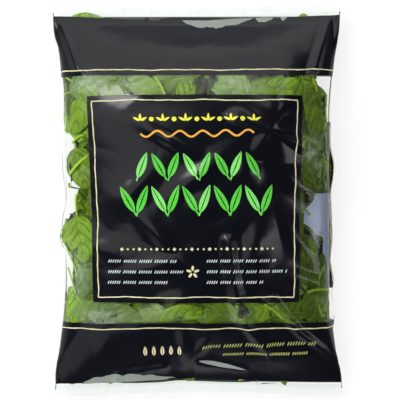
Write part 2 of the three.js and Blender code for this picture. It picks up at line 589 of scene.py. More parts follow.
    def inside(self, u: np.ndarray, v: np.ndarray, depth: np.ndarray, clearance: float) -> np.ndarray:
        """Places under the film, never through its creases nor past the middle of the bag."""
        hollow = self.sample(self.hollow, u, v)
        thickness = self.sample(self.thickness, u, v)
        least = hollow + np.minimum(clearance, self.MOST_CLEARANCE * thickness)
        most = np.maximum(self.MOST_DEPTH * thickness, least)
        depth = np.minimum(np.maximum(depth, least), most)
        normal = unit(self.sample(self.smooth_normals, u, v))
        return self.sample(self.smooth, u, v) - normal * depth[..., None]


def grid_faces(rows: int, columns: int, closed: bool) -> np.ndarray:
    """Faces of a grid of points; a closed one joins its last column to its first."""
    number = np.arange(rows * columns).reshape(rows, columns)
    beside = np.roll(number, -1, 1) if closed else number[:, 1:]
    here = number if closed else number[:, :-1]
    return np.stack([here[:-1], beside[:-1], beside[1:], here[1:]], -1).reshape(-1, 4)


def new_object(name: str, points: np.ndarray, faces: list, materials: list,
               normals: np.ndarray | None = None,
               face_materials: np.ndarray | None = None) -> bpy.types.Object:
    """A smooth mesh object that rides on the bag.

    Args:
        name: Name of the piece.
        points: Its vertices, in metres.
        faces: Its faces, as lists of vertex numbers.
        materials: Its materials, in the order of face_materials.
        normals: Normal of each vertex, where the mesh's own would not follow the film.
        face_materials: Material number of each face.

    Returns:
        The new object.
    """
    mesh = bpy.data.meshes.new(name)
    mesh.from_pydata(points.reshape(-1, 3).tolist(), [], faces)
    mesh.polygons.foreach_set("use_smooth", np.ones(len(mesh.polygons), dtype=bool))
    for material in materials:
        mesh.materials.append(material)
    if face_materials is not None:
        mesh.polygons.foreach_set("material_index", face_materials.astype(np.int32))
    mesh.validate()
    if normals is not None:
        mesh.normals_split_custom_set_from_vertices(normals.reshape(-1, 3).tolist())
    piece = bpy.data.objects.new(name, mesh)
    bpy.context.scene.collection.objects.link(piece)
    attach(piece, BODY)
    log.info("%s: %d faces", name, len(mesh.polygons))
    return piece


def wave(distance: np.ndarray, size: float, lengths: tuple[float, ...],
         rng: np.random.Generator) -> np.ndarray:
    """An uneven wave along a hand-drawn edge.

    Args:
        distance: Distance along the edge.
        size: Largest departure from the straight edge.
        lengths: Wavelengths that it is made of, longest first.
        rng: Source of the phases.

    Returns:
        Departure from the edge at each distance.
    """
    fall = 0.6
    shares = [fall**k for k in range(len(lengths))]
    waves = [share * np.sin(2 * np.pi * distance / length + rng.uniform(*PHASES))
             for share, length in zip(shares, lengths)]
    return size * sum(waves) / sum(shares)


DARK_INSIDE = 0.12
PALE_INSIDE = 1.0


class Tone(Enum):
    """Inks of the print, each with its colour (linear), its roughness and how pale its inner face is."""

    FIELD = ((0.0042, 0.0046, 0.0076), 0.17, DARK_INSIDE)
    BACK = ((0.0042, 0.0046, 0.0076), 0.17, PALE_INSIDE)
    CREAM = ((0.68, 0.64, 0.38), 0.30, DARK_INSIDE)
    GREEN = ((0.10, 0.58, 0.055), 0.28, DARK_INSIDE)
    LIME = ((0.20, 0.70, 0.14), 0.28, DARK_INSIDE)
    YELLOW = ((0.78, 0.74, 0.06), 0.30, DARK_INSIDE)
    ORANGE = ((0.82, 0.40, 0.06), 0.30, DARK_INSIDE)
    PALE = ((0.60, 0.68, 0.68), 0.32, DARK_INSIDE)
    OLIVE = ((0.46, 0.47, 0.13), 0.32, DARK_INSIDE)
    # VEIL: grey-green ink for folds of clear film over the dark bands, its paleness their painted sheen
    VEIL = ((0.25, 0.29, 0.26), 0.25, DARK_INSIDE)


def oval_outline(s: np.ndarray) -> np.ndarray:
    """Half width of an oval at s, from -1 at its foot to 1 at its tip."""
    return np.sqrt(np.maximum(1 - s**2, 0))


def diamond_outline(s: np.ndarray) -> np.ndarray:
    """Half width of a diamond at s, from -1 at its foot to 1 at its tip."""
    return 1 - np.abs(s)


def leaf_outline(s: np.ndarray) -> np.ndarray:
    """Half width of a pointed leaf at s, from -1 at its foot to 1 at its tip."""
    foot, tip, peak = 0.6, 0.9, 0.47
    share = (s + 1) / 2
    return np.maximum(share, 0) ** foot * np.maximum(1 - share, 0) ** tip / peak


@dataclass
class FlatArt:
    """Printed shapes in flat film coordinates, each a small grid that can follow the film's curves."""

    LONG_STEP = 1.2 * MM
    WIDE_STEP = 2.4 * MM

    points: list[np.ndarray] = field(default_factory=list)
    faces: list[np.ndarray] = field(default_factory=list)
    tones: list[np.ndarray] = field(default_factory=list)
    size: int = 0

    def add(self, points: np.ndarray, faces: np.ndarray, tone: Tone) -> None:
        """Adds a shape with its own faces."""
        self.points.append(points)
        self.faces.append(faces + self.size)
        self.tones.append(np.full(len(faces), list(Tone).index(tone)))
        self.size += len(points)

    def grid(self, points: np.ndarray, tone: Tone) -> None:
        """Adds a shape given as rows and columns of points."""
        rows, columns = points.shape[:2]
        number = np.arange(rows * columns).reshape(rows, columns)
        corners = [number[:-1, :-1], number[:-1, 1:], number[1:, 1:], number[1:, :-1]]
        across = points[rows // 2, -1] - points[rows // 2, 0]
        along = points[-1, columns // 2] - points[0, columns // 2]
        if across[0] * along[1] - across[1] * along[0] < 0:
            corners.reverse()
        self.add(points.reshape(-1, 2), np.stack(corners, -1).reshape(-1, 4), tone)

    def stroke(self, path: np.ndarray, width: np.ndarray, tone: Tone) -> None:
        """Adds a line that follows a path, with its width at each point."""
        ahead = np.gradient(path, axis=0)
        ahead /= np.maximum(np.linalg.norm(ahead, axis=1, keepdims=True), 1e-12)
        side = np.stack([-ahead[:, 1], ahead[:, 0]], -1)
        share = np.linspace(0.5, -0.5, 3)
        self.grid(path[:, None] + side[:, None] * (width[:, None] * share)[..., None], tone)

    def shape(self, at: Pair, length: float, width: float, turn: float, tone: Tone,
              outline: Callable[[np.ndarray], np.ndarray] = oval_outline, split: float = 0) -> None:
        """Adds an oval, diamond or leaf.

        Args:
            at: Its middle.
            length: Length along its axis.
            width: Largest width.
            turn: Direction of its axis, in radians from +u towards +v.
            tone: Its ink.
            outline: Half width along its axis, from -1 to 1.
            split: Share of the width left bare along its axis, as a leaf's rib is.
        """
        s = -np.cos(np.linspace(0, np.pi, max(7, round(length / self.LONG_STEP) | 1)))
        steps = max(3, round(width / self.WIDE_STEP) + 1)
        if split:
            halves = (np.linspace(-1, -split, steps), np.linspace(split, 1, steps))
        else:
            halves = (np.linspace(-1, 1, steps),)
        along = np.array([math.cos(turn), math.sin(turn)])
        across = np.array([-along[1], along[0]])
        for t in halves:
            x = np.repeat((s * length / 2)[:, None], len(t), 1)
            y = outline(s)[:, None] * t * width / 2
            self.grid(np.array(at) + x[..., None] * along + y[..., None] * across, tone)

    def piece(self, name: str, film: Film, lift: float, slot: str) -> bpy.types.Object:
        """The shapes as a mesh on the film's outer face."""
        uv = np.concatenate(self.points)
        points, normals = film.outside(uv[:, 0], uv[:, 1], lift)
        faces = [face.tolist() for block in self.faces for face in block]
        tones = np.concatenate(self.tones)
        used = sorted(set(tones.tolist()))
        materials = [Ink(list(Tone)[number]).material() for number in used]
        return new_object(name, points, faces, materials, normals, np.searchsorted(used, tones))


@dataclass(frozen=True)
class PrintDesign:
    """The dark fields, cream lines and generic marks printed on the film, in metres of flat film."""

    top_band: Pair = mm(111.5, 165.3)
    bottom_band: Pair = mm(-163.5, -109)
    panel: tuple[Pair, ...] = (
        mm(-89.3, -88.7), mm(87.6, -88.7), mm(90.4, 92.3), mm(-93.9, 92.3))
    back_panel: tuple[Pair, ...] = (
        mm(125.6, -79), mm(316, -79), mm(316, 70), mm(125.6, 70))
    smooth: float = 0.12 * MM
    torn: float = 0.55 * MM
    torn_waves: tuple[float, ...] = mm(47, 19, 7.3, 3.1, 1.7)
    torn_grain: float = 0.25
    torn_fade: float = 2 * MM
    line_inset: float = 4.3 * MM
    line_width: float = 0.95 * MM
    line_sway: float = 0.55 * MM
    line_waves: tuple[float, ...] = mm(63, 31, 14)
    line_unevenness: float = 0.22
    line_width_waves: tuple[float, ...] = mm(17, 7, 3)
    edge_step: float = 0.7 * MM
    edge_room: float = 1.3 * MM
    field_lift: float = 0.15 * MM
    mark_lift: float = 0.32 * MM
    hatch_width: float = 0.85 * MM
    hatch_lean: float = 1.15
    end_folds: tuple[tuple[float, ...], ...] = (
        mm(-13, 50, 7.5), mm(52, 68, 4.5), mm(74, 80, 3.5), mm(-104, -18, -7.5))
    fold_overlap: float = 0.8 * MM
    fold_waves: tuple[float, ...] = mm(17, 6)
    fold_unevenness: float = 0.18
    seed: int = 21

    def edge(self, start: Pair, stop: Pair, rough: float,
             rng: np.random.Generator) -> np.ndarray:
        """Points from start towards stop, with the uneven edge of brushed ink."""
        start, stop = np.array(start), np.array(stop)
        length = float(np.linalg.norm(stop - start))
        distance = np.arange(0, length, self.edge_step)
        ahead = (stop - start) / length
        side = np.array([-ahead[1], ahead[0]])
        fade = np.clip(np.minimum(distance, length - distance) / self.torn_fade, 0, 1)
        off = wave(distance, rough, self.torn_waves, rng)
        off = off + rng.normal(0, rough * self.torn_grain, len(distance))
        return start + distance[:, None] * ahead + (off * fade)[:, None] * side

    def field(self, art: FlatArt, film: Film, corners: tuple[Pair, ...],
              rough: tuple[float, float, float, float], tone: Tone, rng: np.random.Generator) -> None:
        """Adds a dark field with uneven edges, cut along the film's own grid.

        Args:
            art: What it is added to.
            film: The film that it lies on.
            corners: Its corners, counterclockwise from the least u and v.
            rough: Unevenness of the bottom, right, top and left edges.
            tone: Its ink.
            rng: Source of the unevenness.
        """
        places = np.array(corners)
        outline = np.concatenate([
            self.edge(corners[k], corners[(k + 1) % 4], rough[k], rng) for k in range(4)])
        rows, columns = film.points.shape[:2]
        step_u, step_v = film.cut.around / columns, film.cut.length / (rows - 1)
        low, high = places.min(0), places.max(0)
        u = np.arange(math.ceil(low[0] / step_u), math.floor(high[0] / step_u) + 1) * step_u
        v = np.arange(math.ceil(low[1] / step_v - 0.5), math.floor(high[1] / step_v + 0.5) + 1) * step_v
        inner = np.stack(np.meshgrid(u, v), -1).reshape(-1, 2)
        for start, stop in zip(places, np.roll(places, -1, 0)):
            ahead = (stop - start) / np.linalg.norm(stop - start)
            inward = (inner - start) @ np.array([-ahead[1], ahead[0]])
            inner = inner[inward > self.edge_room]
        points = np.concatenate([outline, inner])
        found, _, faces, *_ = delaunay_2d_cdt(
            [Vector(p) for p in points / MM], [], [list(range(len(outline)))], 1, 1e-4, False)
        art.add(np.array([tuple(p) for p in found]) * MM, np.array(faces), tone)

    def line(self, art: FlatArt, corners: list[Pair], closed: bool,
             rng: np.random.Generator) -> None:
        """Adds a cream line drawn by hand through the corners."""
        stops = corners + corners[:1] if closed else corners
        for start, stop in zip(stops, stops[1:]):
            path = self.edge(start, stop, 0, rng)
            distance = np.arange(len(path)) * self.edge_step
            ahead = np.array(stop) - np.array(start)
            side = np.array([-ahead[1], ahead[0]]) / np.linalg.norm(ahead)
            path = path + wave(distance, self.line_sway, self.line_waves, rng)[:, None] * side
            uneven = wave(distance, self.line_unevenness, self.line_width_waves, rng)
            art.stroke(path, self.line_width * (1 + uneven), Tone.CREAM)

    def fields(self, film: Film) -> FlatArt:
        """The dark bands round both ends and the panels of the front and the back."""
        rng = np.random.default_rng(self.seed)
        art = FlatArt()
        width = film.cut.width
        smooth, torn = self.smooth, self.torn
        bands = ((self.top_band, (torn, 0, smooth, 0)), (self.bottom_band, (smooth, 0, torn, 0)))
        for (low, high), rough in bands:
            corners = ((-width, low), (width, low), (width, high), (-width, high))
            self.field(art, film, corners, rough, Tone.FIELD, rng)
        for corners, tone in ((self.panel, Tone.FIELD), (self.back_panel, Tone.BACK)):
            self.field(art, film, corners, (torn,) * 4, tone, rng)
        return art

    def lines(self, art: FlatArt, film: Film, rng: np.random.Generator) -> None:
        """The cream line along each band and round each panel."""
        width, inset = film.cut.width, self.line_inset
        for v in (self.top_band[0] + inset, self.bottom_band[1] - inset):
            self.line(art, [(-width, v), (width, v)], False, rng)
        for corners in (self.panel, self.back_panel):
            middle = np.mean(corners, 0)
            inner = [(u - math.copysign(inset, u - middle[0]), v - math.copysign(inset, v - middle[1]))
                     for u, v in corners]
            self.line(art, inner, True, rng)

    def hatch(self, art: FlatArt, start: Pair, count: int, height: float, pitch: float,
              tone: Tone, gap_every: int, rise: float = 0) -> None:
        """Adds a row of short slanted strokes, in groups.

        Args:
            art: What it is added to.
            start: Where the row starts, at half its height.
            count: How many strokes.
            height: Height of the row.
            pitch: Distance between strokes.
            tone: Their ink.
            gap_every: Strokes in a group.
            rise: Rise of the row for each metre along it.
        """
        u = start[0]
        for number in range(count):
            if number and number % gap_every == 0:
                u += pitch
            at = (u, start[1] + rise * (u - start[0]))
            art.shape(at, height, self.hatch_width, self.hatch_lean, tone)
            u += pitch

    def fold(self, art: FlatArt, u: float, to_u: float, edge: float, depth: float,
             rng: np.random.Generator) -> None:
        """Adds a sagging fold of clear film over the edge of a band, drawn in grey-green ink whose paleness
        is the fold's painted sheen.

        Args:
            art: What it is added to.
            u: Where it starts.
            to_u: Where it ends.
            edge: The band's edge, as v.
            depth: How far it hangs over the band; negative at the bottom of the bag.
            rng: Source of its unevenness.
        """
        share = np.linspace(0, 1, 24)
        lean = 0.8
        uneven = wave(share * abs(to_u - u), self.fold_unevenness, self.fold_waves, rng)
        sag = depth * np.sin(np.pi * share**lean) ** lean * (1 + uneven)
        rows = [np.stack([u + (to_u - u) * share, edge - sag * part], -1) for part in (0.0, 0.35, 0.7, 1.0)]
        art.grid(np.stack(rows), Tone.VEIL)

    @staticmethod
    def garland(art: FlatArt) -> None:
        """Adds a garland of buds and dots over a wavy ribbon."""
        pitch, dot, reach, length, width = mm(9.6, 4.2, 3.6, 6.4, 3.0)
        dots_v, buds_v, ribbon_v = mm(71, 69.5, 58)
        for number in range(11):
            u = (number - 5) * pitch
            if number % 2:
                art.shape((u, dots_v), dot, dot, 0, Tone.YELLOW)
                continue
            for turn in (0.5, UPRIGHT, 2.64):
                at = (u + reach * math.cos(turn), buds_v + reach * math.sin(turn))
                art.shape(at, length, width, turn, Tone.YELLOW, leaf_outline)
        end, step, swing, bend, thick = mm(48, 0.6, 2.6, 3.05, 1.7)
        u = np.arange(-end, end, step)
        path = np.stack([u, ribbon_v + swing * np.sin(u / bend)], -1)
        art.stroke(path, np.full(len(u), thick), Tone.ORANGE)

    @staticmethod
    def leaf_rows(art: FlatArt) -> None:
        """Adds two rows of big leaves in pairs, each leaf with its rib left bare and a short stem."""
        pitch, width, stem_width = mm(13.4, 9.2, 1.3)
        stem = np.linspace(-3.5 * MM, 1 * MM, 6)[:, None]
        for row, (count, v, length) in enumerate(((8, *mm(31, 23)), (10, *mm(1.5, 25)))):
            for number in range(count):
                u = (number - (count - 1) / 2) * pitch
                lean = UPRIGHT + (0.5 if (number + row) % 2 else -0.35)
                tone = Tone.GREEN if (number + row) % 3 else Tone.LIME
                art.shape((u, v), length, width, lean, tone, leaf_outline, 0.13)
                ahead = np.array([math.cos(lean), math.sin(lean)])
                foot = np.array([u, v]) - length / 2 * ahead
                art.stroke(foot + stem * ahead, np.full(len(stem), stem_width), tone)

    @staticmethod
    def beads(art: FlatArt) -> None:
        """Adds a row of small diamonds and dots."""
        pitch, v, diamond, dot = mm(5.0, -42, 3.4, 1.8)
        for number in range(27):
            at = ((number - 13) * pitch, v)
            if number % 3:
                art.shape(at, dot, dot, 0, Tone.CREAM)
            else:
                art.shape(at, diamond, diamond, 0, Tone.CREAM, diamond_outline)

    def blocks(self, art: FlatArt) -> None:
        """Adds two blocks of short strokes, with a small flower between them."""
        left_u, right_u, height, pitch = mm(-76, 8, 3.2, 1.9)
        for row, (left, right) in enumerate(((27, 27), (30, 31), (24, 22))):
            v = (-52.5 - 9.3 * row) * MM
            self.hatch(art, (left_u, v), left, height, pitch, Tone.PALE, 6)
            self.hatch(art, (right_u, v), right, height, pitch, Tone.PALE, 5)
        flower_u, flower_v, reach, length, width = mm(-4.5, -62, 3.4, 4.6, 2.3)
        for number in range(5):
            turn = number * 2 * math.pi / 5 + math.pi / 2
            at = (flower_u + reach * math.cos(turn), flower_v + reach * math.sin(turn))
            art.shape(at, length, width, turn, Tone.CREAM)

    def low_marks(self, art: FlatArt) -> None:
        """Adds five seeds and two rows of strokes on the lower band."""
        first, pitch, v, length, width = mm(-46, 7.4, -135, 9.5, 4.4)
        for number in range(5):
            at = (first + number * pitch, v)
            art.shape(at, length, width, UPRIGHT, Tone.CREAM, leaf_outline, 0.16)
        self.hatch(art, mm(4, -131.5), 38, 4.2 * MM, 2.3 * MM, Tone.OLIVE, 7, 0.05)
        self.hatch(art, mm(22, -139.5), 34, 3.2 * MM, 2.0 * MM, Tone.OLIVE, 9, 0.05)

    def marks(self, film: Film) -> FlatArt:
        """Cream lines, and rows of plain leaves, buds and strokes where a pack carries its print.

        The folds of the clear strips, which lie over the edges of the dark bands, come last.
        """
        rng = np.random.default_rng(self.seed + 1)
        art = FlatArt()
        self.lines(art, film, rng)
        self.garland(art)
        self.leaf_rows(art)
        self.beads(art)
        self.blocks(art)
        self.low_marks(art)
        top, bottom = self.top_band[1] + self.fold_overlap, self.bottom_band[0] - self.fold_overlap
        for u, to_u, depth in self.end_folds:
            self.fold(art, u, to_u, top if depth > 0 else bottom, depth, rng)
        # a lens of folded film on the lower band, in the same ink of painted sheen
        art.shape(mm(21, -150), 42 * MM, 5 * MM, -0.22, Tone.VEIL, leaf_outline)
        return art


class Nodes:
    """A short way to write the nodes of one tree."""

    def __init__(self, tree: bpy.types.NodeTree) -> None:
        self.tree = tree
        tree.nodes.clear()

    def add(self, kind: str, inputs: dict | None = None, **settings) -> bpy.types.Node:
        """Adds a node; each input is a value, or another node's socket."""
        node = self.tree.nodes.new("ShaderNode" + kind)
        for name, value in settings.items():
            setattr(node, name, value)
        for name, value in (inputs or {}).items():
            socket = node.inputs[name]
            if isinstance(value, Socket):
                self.tree.links.new(value, socket)
            else:
                socket.default_value = value
        return node

    def math(self, operation: str, *values: "float | Socket",
             clamp: bool = False) -> Socket:
        """The result of a math node."""
        return self.add("Math", dict(enumerate(values)), operation=operation, use_clamp=clamp).outputs[0]

    def ramp(self, value: Socket, low: float, high: float, to_low: float = 0,
             to_high: float = 1) -> Socket:
        """A value carried smoothly from one range to another."""
        inputs = {"Value": value, 1: low, 2: high, 3: to_low, 4: to_high}
        return self.add("MapRange", inputs, interpolation_type="SMOOTHSTEP").outputs[0]

    def blend(self, share: Socket, first: "tuple | Socket",
              second: "tuple | Socket") -> Socket:
        """A colour between two colours."""
        colours = [(*c, 1) if isinstance(c, tuple) else c for c in (first, second)]
        return self.add("Mix", {0: share, 6: colours[0], 7: colours[1]}, data_type="RGBA").outputs[2]

    def noise(self, scale: float, detail: float = 2, rough: float = 0.5,
              vector: Socket | None = None) -> Socket:
        """Noise over the object's own space, about 0.5."""
        vector = vector or self.add("TexCoord").outputs["Object"]
        inputs = {"Vector": vector, "Scale": scale, "Detail": detail, "Roughness": rough}
        return self.add("TexNoise", inputs).outputs[0]

    def group(self, tree: bpy.types.NodeTree, inputs: dict) -> bpy.types.Node:
        """Places a node group."""
        node = self.tree.nodes.new("ShaderNodeGroup")
        node.node_tree = tree
        for name, value in inputs.items():
            node.inputs[name].default_value = value
        return node

    def surface(self, shader: Socket) -> None:
        """Ends a material with its shader."""
        self.add("OutputMaterial", {"Surface": shader})


def new_material(name: str) -> tuple[bpy.types.Material, Nodes]:
    """An empty material and its nodes."""
    material = bpy.data.materials.new(name)
    material.use_nodes = True
    return material, Nodes(material.node_tree)


def crinkle_group() -> bpy.types.NodeTree:
    """Node group of the film's small crinkles, too fine for its mesh: a normal, by strength."""
    name = "film_crinkle"
    if name in bpy.data.node_groups:
        return bpy.data.node_groups[name]
    tree = bpy.data.node_groups.new(name, "ShaderNodeTree")
    tree.interface.new_socket("Strength", in_out="INPUT", socket_type="NodeSocketFloat")
    tree.interface.new_socket("Normal", in_out="OUTPUT", socket_type="NodeSocketVector")
    nodes = Nodes(tree)
    strength = tree.nodes.new("NodeGroupInput").outputs["Strength"]
    folds = nodes.math("ABSOLUTE", nodes.math("SUBTRACT", nodes.noise(34, 1.5, 0.4), 0.5))
    grain = nodes.math("MULTIPLY", nodes.noise(300, 1, 0.5), 0.012)
    height = nodes.math("ADD", folds, grain)
    bump = nodes.add("Bump", {"Strength": strength, "Distance": 4 * MM, "Height": height})
    out = tree.nodes.new("NodeGroupOutput")
    tree.links.new(bump.outputs[0], out.inputs["Normal"])
    return tree


@dataclass(frozen=True)
class GlareHazePatch:
    """A patch of the film whitened by painted glare with some haze, in flat film: diffuse white that stands
    in for the glints of its small wrinkles.
    """

    u: float
    v: float
    reach_u: float
    reach_v: float
    share: float


# patches of painted glare with some haze, where the film's wrinkles would catch the lights
GLARE_HAZE_PATCHES = tuple(
    GlareHazePatch(*mm(u, v, reach_u, reach_v), share)
    for u, v, reach_u, reach_v, share in (
        (-92, 103, 15, 8, 0.9), (-58, 101, 12, 9, 0.6), (34, 103, 22, 8, 0.5), (-104, -66, 9, 24, 0.5),
        (-82, -103, 16, 8, 0.75), (-32, -100, 16, 8, 0.3), (36, -101, 10, 8, 0.35), (100, 46, 9, 11, 0.4),
        (104, -28, 4, 12, 0.4)))


@dataclass(frozen=True)
class ClearFilm:
    """Clear glossy film, faintly green where two plies lie together, whitish in its patches of painted glare
    and haze.
    """

    name: str = "clear_film"
    tint: Triple = (0.982, 0.994, 0.986)
    index: float = 1.33
    roughness: float = 0.07
    haze: float = 0.003
    # colour of the haze and of the painted glare
    haze_and_glare: Triple = (0.82, 0.93, 0.82)
    fog: float = 0.42
    crinkle: float = 0.25

    def material(self) -> bpy.types.Material:
        """The film's material."""
        material, nodes = new_material(self.name)
        normal = nodes.group(crinkle_group(), {"Strength": self.crinkle}).outputs[0]
        clear = nodes.add("BsdfTransparent", {"Color": (*self.tint, 1)})
        shine = {"Color": (1, 1, 1, 1), "Roughness": self.roughness, "Normal": normal}
        gloss = nodes.add("BsdfGlossy", shine)
        # the haze and the painted glare: a diffuse white, broken into streaks inside the glare patches
        haze_and_glare = nodes.add("BsdfDiffuse", {"Color": (*self.haze_and_glare, 1)})
        fog = nodes.add("Attribute", attribute_name="fog").outputs["Fac"]
        streaks = nodes.ramp(nodes.noise(210, 5, 0.6), 0.36, 0.72, 0.08, self.fog)
        haze_and_glare_share = nodes.math("MULTIPLY_ADD", fog, streaks, self.haze)
        body = nodes.add("MixShader", {0: haze_and_glare_share, 1: clear.outputs[0], 2: haze_and_glare.outputs[0]})
        facing = nodes.add("Fresnel", {"IOR": self.index, "Normal": normal})
        mixed = nodes.add("MixShader", {0: facing.outputs[0], 1: body.outputs[0], 2: gloss.outputs[0]})
        nodes.surface(mixed.outputs[0])
        return material


SEALED_FILM = ClearFilm("sealed_film", tint=(0.962, 0.985, 0.969), haze=0.05)


@dataclass(frozen=True)
class Ink:
    """Glossy printed film in one ink, with its pale inner face that lets some light in."""

    tone: Tone
    inner: Triple = (0.62, 0.71, 0.98)
    glow: float = 0.28
    crinkle: float = 0.22

    def material(self) -> bpy.types.Material:
        """The ink's material."""
        colour, roughness, pale = self.tone.value
        inner = tuple(pale * part for part in self.inner)
        material, nodes = new_material("print_" + self.tone.name.lower())
        normal = nodes.group(crinkle_group(), {"Strength": self.crinkle}).outputs[0]
        cloud = nodes.noise(19, 3, 0.55)
        deep = tuple(0.8 * part for part in colour)
        face = nodes.blend(cloud, deep, tuple(min(1.2 * part, 1) for part in colour))
        behind = nodes.add("NewGeometry").outputs["Backfacing"]
        inputs = {
            "Base Color": nodes.blend(behind, face, inner),
            "Roughness": nodes.ramp(cloud, 0.3, 0.7, roughness * 0.8, roughness * 1.25),
            "IOR": 1.38,
            "Normal": normal,
        }
        face = nodes.add("BsdfPrincipled", inputs)
        glow = nodes.add("BsdfTranslucent", {"Color": (*inner, 1)})
        share = nodes.math("MULTIPLY", behind, self.glow * pale)
        mixed = nodes.add("MixShader", {0: share, 1: face.outputs[0], 2: glow.outputs[0]})
        nodes.surface(mixed.outputs[0])
        return material


@dataclass(frozen=True)
class LeafFinish:
    """A spinach leaf: smooth and glossy, a little puckered between its veins, and paler below."""

    # dark: the darkest green, taken by dark leaves and by the painted shade of buried ones
    dark: Triple = (0.014, 0.026, 0.002)
    light: Triple = (0.355, 0.60, 0.030)
    vein: Triple = (0.50, 0.68, 0.16)
    # sunken: painted shade in the sunken veins of the top face
    sunken: Triple = (0.05, 0.10, 0.006)
    under: Triple = (0.35, 0.55, 0.13)
    glow: Triple = (0.34, 0.56, 0.02)
    glow_share: float = 0.15
    pucker: float = 0.8 * MM

    @staticmethod
    def veins(nodes: Nodes) -> tuple[Socket, ...]:
        """The midrib, the side veins with the net between them, and the place from one side vein to the next.

        They are laid out by the blade's UV map: foot to tip, and side to side.
        """
        place = nodes.add("SeparateXYZ", {0: nodes.add("UVMap", uv_map="blade").outputs[0]})
        along = place.outputs[0]
        side = nodes.math("ABSOLUTE", nodes.math("MULTIPLY_ADD", place.outputs[1], 2, -1))
        rib = nodes.ramp(nodes.math("MULTIPLY_ADD", along, 0.05, side), 0.03, 0.09, 1, 0)
        wander = nodes.math("MULTIPLY_ADD", nodes.noise(70, 2), 0.7, -0.35)
        turn = nodes.math("MULTIPLY_ADD", nodes.math("POWER", side, VEIN_BEND), -VEIN_SLANT, wander)
        phase = nodes.math("FRACT", nodes.math("MULTIPLY_ADD", along, VEIN_PAIRS, turn))
        near = nodes.math("ABSOLUTE", nodes.math("SUBTRACT", phase, 0.5))
        fading = nodes.ramp(side, 0.55, 0.98, 1, 0.15)
        branch = nodes.math("MULTIPLY", nodes.ramp(near, 0.02, 0.11, 1, 0), fading)
        cells = {"Vector": nodes.add("TexCoord").outputs["Object"], "Scale": 330}
        walls = nodes.add("TexVoronoi", cells, feature="DISTANCE_TO_EDGE").outputs["Distance"]
        net = nodes.ramp(walls, 0.0, 0.10, 1, 0)
        return rib, nodes.math("MAXIMUM", branch, nodes.math("MULTIPLY", net, 0.3)), phase

    def colour(self, nodes: Nodes, rib: Socket, fine: Socket,
               veins: Socket, tone: Socket,
               patch: Socket) -> Socket:
        """The green of both faces, by the leaf's tone, with painted shade in the sunken veins above and pale
        veins below.
        """
        green = nodes.blend(nodes.math("ADD", tone, patch, clamp=True), self.dark, self.light)
        # share of painted shade in the sunken veins, stronger on lighter leaves
        sunken = nodes.math("MULTIPLY", fine, nodes.ramp(tone, 0.2, 0.9, 0.35, 0.55))
        ribbed = nodes.math("MULTIPLY", rib, 0.45)
        top = nodes.blend(ribbed, nodes.blend(sunken, green, self.sunken), self.vein)
        seen = nodes.math("MULTIPLY", veins, nodes.ramp(tone, -0.3, 0.9, 0.08, 0.6))
        dull = nodes.blend(nodes.math("MULTIPLY", tone, 0.8, clamp=True), self.dark, self.under)
        behind = nodes.add("NewGeometry").outputs["Backfacing"]
        return nodes.blend(behind, top, nodes.blend(seen, dull, self.vein))

    def material(self) -> bpy.types.Material:
        """The blade's material."""
        material, nodes = new_material("leaf_blade")
        rib, fine, phase = self.veins(nodes)
        veins = nodes.math("MAXIMUM", rib, nodes.math("MULTIPLY", fine, 0.4), clamp=True)
        # the tone attribute: the leaf's own tone, lowered by painted shade where it lies deep in the heap
        tone = nodes.add("Attribute", attribute_name="tone").outputs["Fac"]
        patch = nodes.math("MULTIPLY_ADD", nodes.noise(75, 4, 0.6), 0.8, -0.4)
        pillow = nodes.math("ABSOLUTE", nodes.math("COSINE", nodes.math("MULTIPLY", phase, math.pi)))
        raised, sunken = nodes.math("MULTIPLY", pillow, 0.8), nodes.math("MULTIPLY", veins, 0.9)
        height = nodes.math("SUBTRACT", raised, sunken)
        height = nodes.math("ADD", height, nodes.math("MULTIPLY", nodes.noise(110, 3), 3.0))
        bump = nodes.add("Bump", {"Strength": 0.9, "Distance": self.pucker, "Height": height}).outputs[0]
        inputs = {
            "Base Color": self.colour(nodes, rib, fine, veins, tone, patch),
            "Roughness": nodes.ramp(patch, -0.3, 0.3, 0.22, 0.36),
            "IOR": 1.42,
            "Normal": bump,
        }
        skin = nodes.add("BsdfPrincipled", inputs)
        glow = nodes.add("BsdfTranslucent", {"Color": nodes.blend(tone, self.dark, self.glow)})
        mixed = nodes.add("MixShader", {0: self.glow_share, 1: skin.outputs[0], 2: glow.outputs[0]})
        nodes.surface(mixed.outputs[0])
        return material


@dataclass(frozen=True)
class StemFinish:
    """A leaf's stem: pale green, juicy and finely ribbed."""

    pale: Triple = (0.46, 0.68, 0.05)
    green: Triple = (0.07, 0.14, 0.02)

    def material(self) -> bpy.types.Material:
        """The stem's material."""
        material, nodes = new_material("leaf_stem")
        # the tone attribute: the stem's own tone, lowered by painted shade where it lies deep in the heap
        tone = nodes.add("Attribute", attribute_name="tone").outputs["Fac"]
        patch = nodes.math("MULTIPLY_ADD", nodes.noise(85, 3), 0.8, -0.1)
        light = nodes.math("ADD", tone, patch, clamp=True)
        ribs = {"Strength": 0.4, "Distance": 0.3 * MM, "Height": nodes.noise(400, 2)}
        bump = nodes.add("Bump", ribs).outputs[0]
        inputs = {"Base Color": nodes.blend(light, self.green, self.pale), "Roughness": 0.34, "Normal": bump}
        nodes.surface(nodes.add("BsdfPrincipled", inputs).outputs[0])
        return material


@dataclass(frozen=True)
class LeafKind:
    """One kind of leaf: its sizes in metres, and how it curls."""

    name: str
    count: int
    length: Pair
    broad: float
    foot: float
    tip: float
    stem: Pair
    cup: float
    ruffle: float
    tone: Pair


